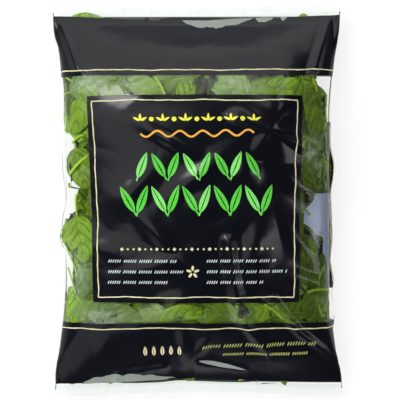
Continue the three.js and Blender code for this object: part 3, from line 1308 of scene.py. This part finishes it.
LEAF_KINDS = (
    LeafKind("broad_leaves", 260, mm(34, 50), 0.76, 0.42, 0.62, mm(8, 22), *mm(4.8, 1.8), (0.55, 1.35)),
    LeafKind("oval_leaves", 220, mm(38, 56), 0.60, 0.55, 0.70, mm(12, 28), *mm(5.2, 1.5), (0.40, 1.20)),
    LeafKind("small_leaves", 160, mm(22, 36), 0.70, 0.48, 0.60, mm(10, 24), *mm(3.4, 1.4), (0.65, 1.40)),
)


@dataclass(frozen=True)
class Bare:
    """An oval beside a side fold where no leaf lies, so that the floor shows through both faces."""

    x: float
    v: float
    reach_x: float
    reach_v: float

    def nearest(self, x: np.ndarray, v: np.ndarray) -> float:
        """The least of the places' distances from its middle, squared, with 1 at its edge."""
        return (((x - self.x) / self.reach_x) ** 2 + ((v - self.v) / self.reach_v) ** 2).min()


BARE = tuple(Bare(*mm(*values)) for values in (
    (-115, 54, 6.5, 7), (-104, 22, 2.0, 7), (-113, 1, 6.5, 11), (-118, -63, 9.5, 21),
    (113, 106, 7.0, 10), (119, 85, 6.5, 20), (109, -13, 10.5, 19), (116, -50, 6.0, 24),
    (121, -94, 5.5, 14)))


@dataclass(frozen=True)
class ShownLeaf:
    """A leaf against the front film in one of its windows."""

    x: float
    v: float
    turn: float
    length: float
    width: float
    tone: float
    turned: bool


SHOWN_LEAVES = tuple(
    ShownLeaf(*mm(x, v), math.radians(turn), *mm(length, width), tone, turned)
    for x, v, turn, length, width, tone, turned in (
        (-106, 86, -94, 54, 34, 0.72, False), (-90, 100, 8, 44, 30, 0.75, True),
        (-71, 100, 80, 34, 22, 0.55, False), (-47, 100, -20, 40, 30, 1.15, True),
        (-24, 101, 200, 44, 30, 0.80, True), (-2, 103, 60, 40, 28, 0.90, False),
        (24, 101, 150, 46, 30, 1.15, True), (56, 102, 30, 42, 30, 0.75, False),
        (80, 99, 5, 40, 24, 1.05, False), (101, 78, -88, 50, 24, 0.70, False),
        (98, 97, -60, 32, 22, 0.55, False), (101, 29, 100, 46, 28, 0.45, False),
        (88, -13, 85, 46, 18, 0.30, False), (96, -58, 95, 50, 15, 0.25, False),
        (107, -66, 85, 38, 16, 0.35, False), (103, -94, -95, 34, 26, 0.45, False),
        (80, -97, 20, 34, 24, 0.55, False), (44, -102, 200, 38, 24, 1.15, False),
        (15, -101, 170, 40, 26, 0.65, False), (-15, -102, 15, 40, 26, 1.10, False),
        (-46, -102, 190, 38, 26, 1.15, True), (-67, -101, -10, 38, 26, 0.80, True),
        (-92, -100, 30, 42, 28, 0.85, True), (-108, -93, -90, 34, 20, 1.2, False),
        (-98, -66, -100, 42, 20, 0.60, True), (-101, -34, -80, 42, 26, 0.80, False),
        (-101, 29, -75, 38, 24, 0.60, False), (93, 154, 90, 28, 22, 0.9, False),
        (63, 153, 86, 28, 24, 0.9, False), (-98, 151, 92, 37, 60, 0.8, False),
        (-7, -153, -90, 28, 24, 0.8, False), (53, -153, -95, 24, 16, 0.8, False),
        (75, -155, -80, 26, 11, 1.0, False)))


@dataclass(frozen=True)
class ShownStalk:
    """A bare stalk against the front film, from one place to another."""

    start: Pair
    stop: Pair
    radius: float
    tone: float


SHOWN_STALKS = tuple(
    ShownStalk(mm(x, v), mm(to_x, to_v), radius * MM, tone)
    for x, v, to_x, to_v, radius, tone in (
        (-111, 25, -95, 40, 1.6, 1.3), (-109, 52, -99, 58, 1.0, 1.2), (-115, -41, -104, -67, 0.8, 0.8),
        (-113, -60, -106, -83, 0.8, 0.8), (95, -81, 114, -80, 1.4, 1.3), (-37, 109, -28, 93, 1.2, 1.3),
        (58, -91, 74, -104, 1.0, 1.0), (100, 108, 104, 96, 1.3, 1.1)))


class Lie(Enum):
    """How a leaf lies in the bag: share of all leaves, and its least and greatest depth."""

    FRONT = (0.14, 0.11, 0.18)
    UNDER_FRONT = (0.24, 0.18, 0.30)
    HEART = (0.20, 0.32, 0.72)
    BACK = (0.22, 0.84, 0.99)
    SIDE = (0.20, 2.0 * MM, 6.0 * MM)


class LeafHeap:
    """Leaves from those pressed against the film to those at the heart of the heap."""

    # grids and materials
    ROWS = 26
    COLUMNS = 13
    STEM_ROWS = 9
    STEM_SIDES = 6
    BLADE, STEM = 0, 1
    # where leaves may lie
    SIDE_BAND = 34 * MM
    SIDE_REACH = (-0.4, 1)
    WINDOW = mm(80, 78)
    BEHIND_PANEL = 0.35
    END_ROOM = 10 * MM
    BODY_REACH = 0.45
    TRIES = 14
    PLACES_TRIED = 6
    NEIGHBOURS = 80
    TURNED = 0.3
    # the leaves that show in the windows
    SHOWN_DEPTH = 0.055
    SHOWN_CURL = 0.85
    SHOWN_ROOM = mm(0.6, 0.04)
    STALK_BOW = 1.5 * MM
    # room that leaves and stems keep from the film
    INSET = mm(1, 7)
    BLADE_ROOM = (2.0 * MM, 0.3)
    STEM_ROOM = 1.5 * MM
    NEAR_SIDE = 96 * MM
    MOST_TUCK = 3 * MM
    # painted shade inside the heap: a leaf's tone is lowered by this much for each metre that it lies deeper
    # than LIT_DEPTH
    PAINTED_SHADE_RATE = 120
    LIT_DEPTH = 4.5 * MM
    # a blade's outline
    WIDTHS = (0.85, 1.1)
    LEAST_OUTLINE = 0.004
    EDGE_WAVE = 0.05
    BEND = 0.10
    # how it curls, leans and puckers
    CUPS = (-1.0, 1.3)
    WAVES = (1.4, 3.2)
    SWING = 0.8
    PITCH = 0.12
    ROLL = 0.28
    RIB_HEIGHT = 0.8 * MM
    RIB_WIDTH = 0.09
    PUCKER = 0.3 * MM
    CRUMPLE = 0.07
    CRUMPLE_LENGTHS = mm(19, 13, 8)
    CRUMPLE_BOW = 0.8
    # stems
    STEM_RADIUS = 1.25 * MM
    STEM_RADII = (0.75, 1.15)
    STEM_FOOT = -0.25
    STEM_SWAY = 0.3

    def __init__(self, film: Film, finish: list[bpy.types.Material], seed: int) -> None:
        self.film = film
        self.finish = finish
        self.rng = np.random.default_rng(seed)
        rows, columns = film.points.shape[:2]
        ring = [tuple(point) for point in film.points.reshape(-1, 3)]
        self.tree = BVHTree.FromPolygons(ring, grid_faces(rows, columns, True).tolist())
        self.taken: list[Pair] = []
        self.parts: list[tuple[np.ndarray, np.ndarray, int, np.ndarray, np.ndarray]] = []

    def is_bare(self, x: np.ndarray, v: np.ndarray) -> bool:
        """Whether a leaf at these places would cover a place that stays bare, or reach into a seal."""
        if np.abs(v).max() > self.film.cut.length / 2 - self.END_ROOM:
            return True
        return any(bare.nearest(x, v) < 1 for bare in BARE)

    def spread(self, lie: Lie, reach: float) -> Pair:
        """A place for a leaf's middle, away from the leaves placed before it."""
        cut, rng = self.film.cut, self.rng
        best, found = -1.0, (0.0, 0.0)
        tries = 0
        while tries < self.PLACES_TRIED:
            v = rng.uniform(-1, 1) * (cut.length / 2 - self.END_ROOM - reach)
            if lie is Lie.SIDE:
                side = rng.choice((-1, 1))
                across = side * (0.5 * cut.width + rng.uniform(*self.SIDE_REACH) * self.SIDE_BAND)
            else:
                across = rng.uniform(-0.5, 0.5) * (cut.width - reach)
                behind = abs(across) < self.WINDOW[0] and abs(v) < self.WINDOW[1]
                if behind and rng.random() > self.BEHIND_PANEL:
                    continue
            tries += 1
            gap = min((math.hypot(across - a, v - b) for a, b in self.taken[-self.NEIGHBOURS:]), default=1.0)
            if gap > best:
                best, found = gap, (across, v)
        return found

    def blade(self, kind: LeafKind, shown: ShownLeaf | None = None) -> dict[str, np.ndarray]:
        """One leaf in its own space: places along and across it, how deep it curls, and its UV map."""
        rng = self.rng
        length = rng.uniform(*kind.length)
        width = length * kind.broad * rng.uniform(*self.WIDTHS)
        if shown:
            length, width = shown.length, shown.width
        s = (1 - np.cos(np.linspace(0, np.pi, self.ROWS))) / 2
        t = np.linspace(-1, 1, self.COLUMNS)
        aside = np.abs(t)
        peak = kind.foot / (kind.foot + kind.tip)
        top = peak**kind.foot * (1 - peak) ** kind.tip
        outline = np.maximum(s**kind.foot * (1 - s) ** kind.tip / top, self.LEAST_OUTLINE)
        edge = 1 + self.EDGE_WAVE * np.sin(9 * s + rng.uniform(*PHASES)) * np.clip(4 * s * (1 - s), 0, 1)
        across = outline[:, None] * edge[:, None] * t * width / 2
        bend = rng.uniform(-self.BEND, self.BEND) * length
        along = np.repeat((s * length)[:, None], self.COLUMNS, 1)
        across = across + (bend * (4 * s * (1 - s)))[:, None]
        waves = rng.uniform(*self.WAVES)
        curl = kind.cup * rng.uniform(*self.CUPS) * aside**1.7 * outline[:, None]
        ripple = np.sin(2 * np.pi * waves * s + rng.uniform(*PHASES))[:, None]
        curl = curl + kind.ruffle * aside**2 * ripple * np.sign(t)
        curl = curl + kind.ruffle * self.SWING * np.sin(5 * s + rng.uniform(*PHASES))[:, None]
        curl = curl + rng.normal(0, self.PITCH) * (along - length / 2)
        curl = curl + rng.normal(0, self.ROLL) * across
        curl = curl + self.RIB_HEIGHT * np.exp(-(t / self.RIB_WIDTH) ** 2)
        vein = VEIN_PAIRS * s[:, None] - VEIN_SLANT * aside**VEIN_BEND + rng.uniform(0, 1)
        curl = curl - self.PUCKER * np.abs(np.cos(np.pi * vein)) + self.crumple(along, across)
        uv = np.stack(np.broadcast_arrays(s[:, None], (t[None] + 1) / 2), -1)
        return {
            "along": along - length * 0.5,
            "across": across,
            "curl": curl,
            "uv": uv,
            "length": np.array(length),
        }

    def crumple(self, along: np.ndarray, across: np.ndarray) -> np.ndarray:
        """Uneven dents and ridges of one leaf: a few slanted waves, with crests sharper than their dips."""
        height = np.zeros_like(along)
        for length in self.CRUMPLE_LENGTHS:
            turn = self.rng.uniform(0, np.pi)
            cos, sin = math.cos(turn), math.sin(turn)
            way = along * cos + across * sin
            beside = (across * cos - along * sin) * 2 / length
            bow = self.CRUMPLE_BOW * np.sin(beside + self.rng.uniform(*PHASES))
            height += length * self.CRUMPLE * (1 - 2 * np.abs(np.sin(np.pi * way / length + bow)))
        return height

    def stem(self, kind: LeafKind, length: float) -> tuple[np.ndarray, np.ndarray, np.ndarray]:
        """A stem from the blade's foot outwards: its places along and across, and its radius."""
        reach = self.rng.uniform(*kind.stem)
        share = np.linspace(self.STEM_FOOT, 1, self.STEM_ROWS)
        sway = self.rng.uniform(-self.STEM_SWAY, self.STEM_SWAY) * reach
        taper = np.clip(0.55 + 0.5 * share, 0.35, 1)
        radius = self.STEM_RADIUS * self.rng.uniform(*self.STEM_RADII) * taper
        return -length / 2 - share * reach, sway * np.maximum(share, 0) ** 2, radius

    def stem_tube(self, path: np.ndarray, radius: np.ndarray) -> np.ndarray:
        """Rings of a stem round its path."""
        ahead = unit(np.gradient(path, axis=0))
        side = unit(np.cross(ahead, np.array([0.21, 0.17, 0.96])))
        up = np.cross(side, ahead)
        turn = np.linspace(0, 2 * np.pi, self.STEM_SIDES, endpoint=False)
        ring = np.cos(turn)[None, :, None] * side[:, None] + np.sin(turn)[None, :, None] * up[:, None]
        return path[:, None] + ring * radius[:, None, None]

    def laid(self, lie: Lie, depth: float, across: np.ndarray, v: np.ndarray, curl: np.ndarray,
             room: float, inset: float) -> tuple[np.ndarray, np.ndarray]:
        """Places of a leaf or stem in the bag, and how deep they are buried."""
        if lie is Lie.SIDE:
            return self.film.inside(across, v, depth + curl, depth), np.maximum(depth + curl, depth)
        return self.film.lying(across, v, depth, curl, room, inset)

    def painted_shade(self, buried: np.ndarray) -> np.ndarray:
        """Painted shade: how much a leaf's tone is lowered at a depth, standing in for the light that finds
        less of its way into the heap.
        """
        return self.PAINTED_SHADE_RATE * np.maximum(buried - self.LIT_DEPTH, 0)

    def keep(self, places: np.ndarray, faces: np.ndarray, material: int, uv: np.ndarray,
             tone: np.ndarray) -> None:
        """Stores one grid of points until its pile is made."""
        self.parts.append((self.tucked(places.reshape(-1, 3)), faces, material, uv, tone.ravel()))

    def keep_stem(self, path: np.ndarray, radius: np.ndarray, tone: np.ndarray) -> None:
        """Stores one stem, given its path, and its radius and tone at each place along it."""
        tones = np.repeat(tone, self.STEM_SIDES)
        faces = grid_faces(self.STEM_ROWS, self.STEM_SIDES, True)
        self.keep(self.stem_tube(path, radius), faces, self.STEM, np.full((tones.size, 2), 0.5), tones)

    def tucked(self, places: np.ndarray) -> np.ndarray:
        """The places, moved back under the film where they would come through it near its side folds."""
        for number in np.flatnonzero(np.abs(places[:, 0]) > self.NEAR_SIDE):
            place = Vector(places[number])
            near, normal, _, _ = self.tree.find_nearest(place)
            over = (place - near).dot(normal) + self.film.SKIN
            if 0 < over < self.MOST_TUCK:
                places[number] = place - normal * over
        return places

    def leaf(self, kind: LeafKind, lie: Lie, shown: ShownLeaf | None = None) -> None:
        """Places one leaf and its stem, where there is room for them."""
        rng = self.rng
        depth = self.SHOWN_DEPTH if shown else rng.uniform(*lie.value[1:])
        inset = rng.uniform(*self.INSET)
        room = self.BLADE_ROOM[0] + self.BLADE_ROOM[1] * inset
        if shown:
            inset = self.INSET[0]
            room = self.SHOWN_ROOM[0] + self.SHOWN_ROOM[1] * len(self.taken)
        for _ in range(self.TRIES):
            blade = self.blade(kind, shown)
            if shown:
                blade["curl"] = blade["curl"] * self.SHOWN_CURL
            length = float(blade["length"])
            at = (shown.x, shown.v) if shown else self.spread(lie, length * self.BODY_REACH)
            turn = shown.turn if shown else rng.uniform(0, 2 * np.pi)
            cos, sin = math.cos(turn), math.sin(turn)
            across = at[0] + blade["along"] * cos - blade["across"] * sin
            v = at[1] + blade["along"] * sin + blade["across"] * cos
            places, buried = self.laid(lie, depth, across, v, blade["curl"], room, inset)
            if shown or not self.is_bare(places[..., 0], v):
                break
        else:
            return
        self.taken.append(at)
        tone = shown.tone if shown else rng.uniform(*kind.tone)
        faces = grid_faces(self.ROWS, self.COLUMNS, False)
        turned = shown.turned if shown else rng.random() < self.TURNED
        if not turned:
            faces = faces[:, ::-1]
        # the leaf's tone is lowered by painted shade where it lies deep
        self.keep(places, faces, self.BLADE, blade["uv"].reshape(-1, 2), tone - self.painted_shade(buried))
        along, sway, radius = self.stem(kind, length)
        across = at[0] + along * cos - sway * sin
        v = at[1] + along * sin + sway * cos
        curl = blade["curl"][0, self.COLUMNS // 2] + radius
        path, buried = self.laid(lie, depth, across, v, curl, room + self.STEM_ROOM, inset)
        if not self.is_bare(path[:, 0], v):
            # the stem's tone is lowered by the same painted shade
            self.keep_stem(path, radius, tone - self.painted_shade(buried))

    def shown(self, kind: LeafKind) -> None:
        """Places the leaves and stalks that lie against the front film in its windows."""
        for leaf in SHOWN_LEAVES:
            self.leaf(kind, Lie.FRONT, leaf)
        share = np.linspace(0, 1, self.STEM_ROWS)
        for stalk in SHOWN_STALKS:
            across = stalk.start[0] + share * (stalk.stop[0] - stalk.start[0])
            v = stalk.start[1] + share * (stalk.stop[1] - stalk.start[1])
            v = v + self.STALK_BOW * np.sin(np.pi * share)
            radius = np.full(share.size, stalk.radius)
            path, _ = self.film.lying(across, v, 0, radius, self.STEM_ROOM, self.INSET[0])
            self.keep_stem(path, radius, np.full(share.size, stalk.tone))

    def pile(self, kind: LeafKind) -> bpy.types.Object:
        """All leaves of one kind, as one mesh."""
        self.parts = []
        if kind is LEAF_KINDS[0]:
            self.shown(kind)
        for lie in Lie:
            for _ in range(round(kind.count * lie.value[0])):
                self.leaf(kind, lie)
        sizes = [len(part[0]) for part in self.parts]
        starts = np.cumsum([0] + sizes[:-1])
        points = np.concatenate([part[0] for part in self.parts])
        faces = np.concatenate([part[1] + start for part, start in zip(self.parts, starts)])
        numbers = np.concatenate([np.full(len(part[1]), part[2]) for part in self.parts])
        uv = np.concatenate([part[3] for part in self.parts])
        tones = np.concatenate([part[4] for part in self.parts])
        piece = new_object(kind.name, points, faces.tolist(), self.finish, None, numbers)
        mesh = piece.data
        loops = np.empty(len(mesh.loops), dtype=np.int32)
        mesh.loops.foreach_get("vertex_index", loops)
        mesh.uv_layers.new(name="blade").data.foreach_set("uv", uv[loops].ravel())
        # tone: each leaf's own tone, lowered by painted shade with depth
        mesh.attributes.new("tone", "FLOAT", "POINT").data.foreach_set("value", tones)
        return piece


@dataclass(frozen=True)
class Light:
    """A soft rectangular light that faces the bag; one that isn't mirrored only fills the shadows."""

    name: str
    at: Triple
    size: Pair
    radiance: float
    mirrored: bool = True

    def build(self) -> None:
        """Adds the light."""
        data = bpy.data.lights.new(self.name, "AREA")
        data.shape = "RECTANGLE"
        data.size, data.size_y = self.size
        data.energy = self.radiance * math.pi * self.size[0] * self.size[1]
        light = bpy.data.objects.new(self.name, data)
        light.location = self.at
        light.rotation_euler = (-Vector(self.at)).to_track_quat("-Z", "Y").to_euler()
        light.visible_glossy = self.mirrored
        bpy.context.scene.collection.objects.link(light)


LIGHTS = (
    Light("fill_left", (-1.6, 0.3, 1.3), (0.8, 1.6), 5.5, False),
    Light("fill_right", (1.6, 0.0, 1.4), (0.8, 1.6), 1.0, False),
    Light("fill_foot", (0.0, -1.7, 1.1), (2.2, 0.8), 3.2, False),
    Light("box_head", (-0.3, 1.65, 1.45), (2.2, 1.7), 1.6),
    Light("box_left", (-0.72, 0.42, 1.5), (0.85, 1.3), 1.25),
    Light("box_foot", (-1.0, -1.35, 1.35), (1.1, 1.3), 0.8),
    Light("strip_right", (1.35, -0.1, 1.2), (0.25, 1.3), 3.0),
    Light("key", (-0.9, 0.9, 1.9), (0.4, 0.4), 12),
)


@dataclass(frozen=True)
class Studio:
    """Pale floor, soft lights, and the camera straight above the bag."""

    camera_height: float = 2.4
    scale_height: float = 13 * MM
    frame_width: float = 351.6 * MM
    aim: Pair = mm(2.2, 0.4)
    sensor: float = 36.0
    floor_reach: float = 3.0

    def build(self) -> None:
        """Makes the floor, the lights, the world and the camera."""
        self.floor()
        for light in LIGHTS:
            light.build()
        self.world()
        self.camera()
        bpy.context.scene.view_settings.view_transform = "Standard"

    def floor(self) -> None:
        """A pale plain floor."""
        mesh = bpy.data.meshes.new("floor")
        low, high = -self.floor_reach, self.floor_reach
        corners = [(low, low, 0), (high, low, 0), (high, high, 0), (low, high, 0)]
        mesh.from_pydata(corners, [], [(0, 1, 2, 3)])
        material, nodes = new_material("floor_paper")
        shade = nodes.ramp(nodes.noise(3, 2), 0.3, 0.7)
        inputs = {
            "Base Color": nodes.blend(shade, (0.20, 0.20, 0.20), (0.22, 0.22, 0.22)),
            "Roughness": 0.9,
            "Emission Color": (1, 1, 1, 1),
            "Emission Strength": 0.80,
        }
        nodes.surface(nodes.add("BsdfPrincipled", inputs).outputs[0])
        mesh.materials.append(material)
        floor = bpy.data.objects.new("floor", mesh)
        bpy.context.scene.collection.objects.link(floor)

    @staticmethod
    def world() -> None:
        """Faint light from above, and pale walls low down at the head and the sides of the bag."""
        world = bpy.data.worlds.new("studio")
        bpy.context.scene.world = world
        world.use_nodes = True
        nodes = Nodes(world.node_tree)
        place = nodes.add("SeparateXYZ", {0: nodes.add("TexCoord").outputs["Generated"]})
        low = nodes.ramp(place.outputs[2], 0.15, 0.62, 1.0, 0.07)
        towards = nodes.math("MULTIPLY_ADD", place.outputs[0], -0.7, place.outputs[1])
        wall = nodes.math("MULTIPLY", low, nodes.ramp(towards, -0.4, 0.7, 0.2, 1.0))
        strength = nodes.math("MAXIMUM", wall, nodes.ramp(place.outputs[2], 0.02, 0.28, 1.0, 0.0))
        sky = nodes.add("Background", {"Color": (0.97, 0.98, 1, 1), "Strength": strength})
        nodes.add("OutputWorld", {"Surface": sky.outputs[0]})

    def camera(self) -> None:
        """A long lens straight above, with the top of the bag up."""
        data = bpy.data.cameras.new("camera")
        data.sensor_width = self.sensor
        data.lens = self.sensor * (self.camera_height - self.scale_height) / self.frame_width
        camera = bpy.data.objects.new("camera", data)
        camera.location = (*self.aim, self.camera_height)
        bpy.context.scene.collection.objects.link(camera)
        bpy.context.scene.camera = camera


def film_piece(film: Film, strip: float) -> bpy.types.Object:
    """The clear film as a tube whose plies are welded into one at both ends.

    Args:
        film: Its surface.
        strip: Distance from its middle to its sealed strips.

    Returns:
        The new piece.
    """
    rows, columns = film.points.shape[:2]
    v = np.linspace(-0.5, 0.5, rows) * film.cut.length
    least = np.repeat(np.minimum(np.abs(v[:-1]), np.abs(v[1:])), columns)
    is_front = np.tile(np.arange(columns) < columns // 2, rows - 1)
    keep = is_front | (least < film.cut.length / 2 - film.cut.seal)
    faces = grid_faces(rows, columns, True)[keep]
    finishes = [ClearFilm().material(), SEALED_FILM.material()]
    is_sealed = least[keep] > strip
    piece = new_object("film", film.points, faces.tolist(), finishes, film.normals, is_sealed)
    u = np.arange(columns) * (film.cut.around / columns) - film.cut.width / 2
    # painted glare and haze at each place of the film, from its patches
    fog = np.zeros((rows, columns))
    for patch in GLARE_HAZE_PATCHES:
        away = ((u[None] - patch.u) / patch.reach_u) ** 2 + ((v[:, None] - patch.v) / patch.reach_v) ** 2
        fog = np.maximum(fog, patch.share * np.exp(-away))
    piece.data.attributes.new("fog", "FLOAT", "POINT").data.foreach_set("value", fog.ravel())
    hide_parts(NODE)
    return piece


def main() -> None:
    """Builds the film, its print, the leaves and the studio."""
    logging.basicConfig(level=logging.INFO, format="%(name)s: %(message)s")
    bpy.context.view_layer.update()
    cut = Cut()
    levels = LEVELS
    film = FilmTube(cut, Contents()).relaxed(levels)
    design = PrintDesign()
    film_piece(film, -design.bottom_band[0])
    design.fields(film).piece("print_fields", film, design.field_lift, "film")
    design.marks(film).piece("print_marks", film, design.mark_lift, "film")
    heap = LeafHeap(film, [LeafFinish().material(), StemFinish().material()], HEAP_SEED)
    for kind in LEAF_KINDS:
        heap.pile(kind)
    Studio().build()


if __name__ == "__main__":
    main()
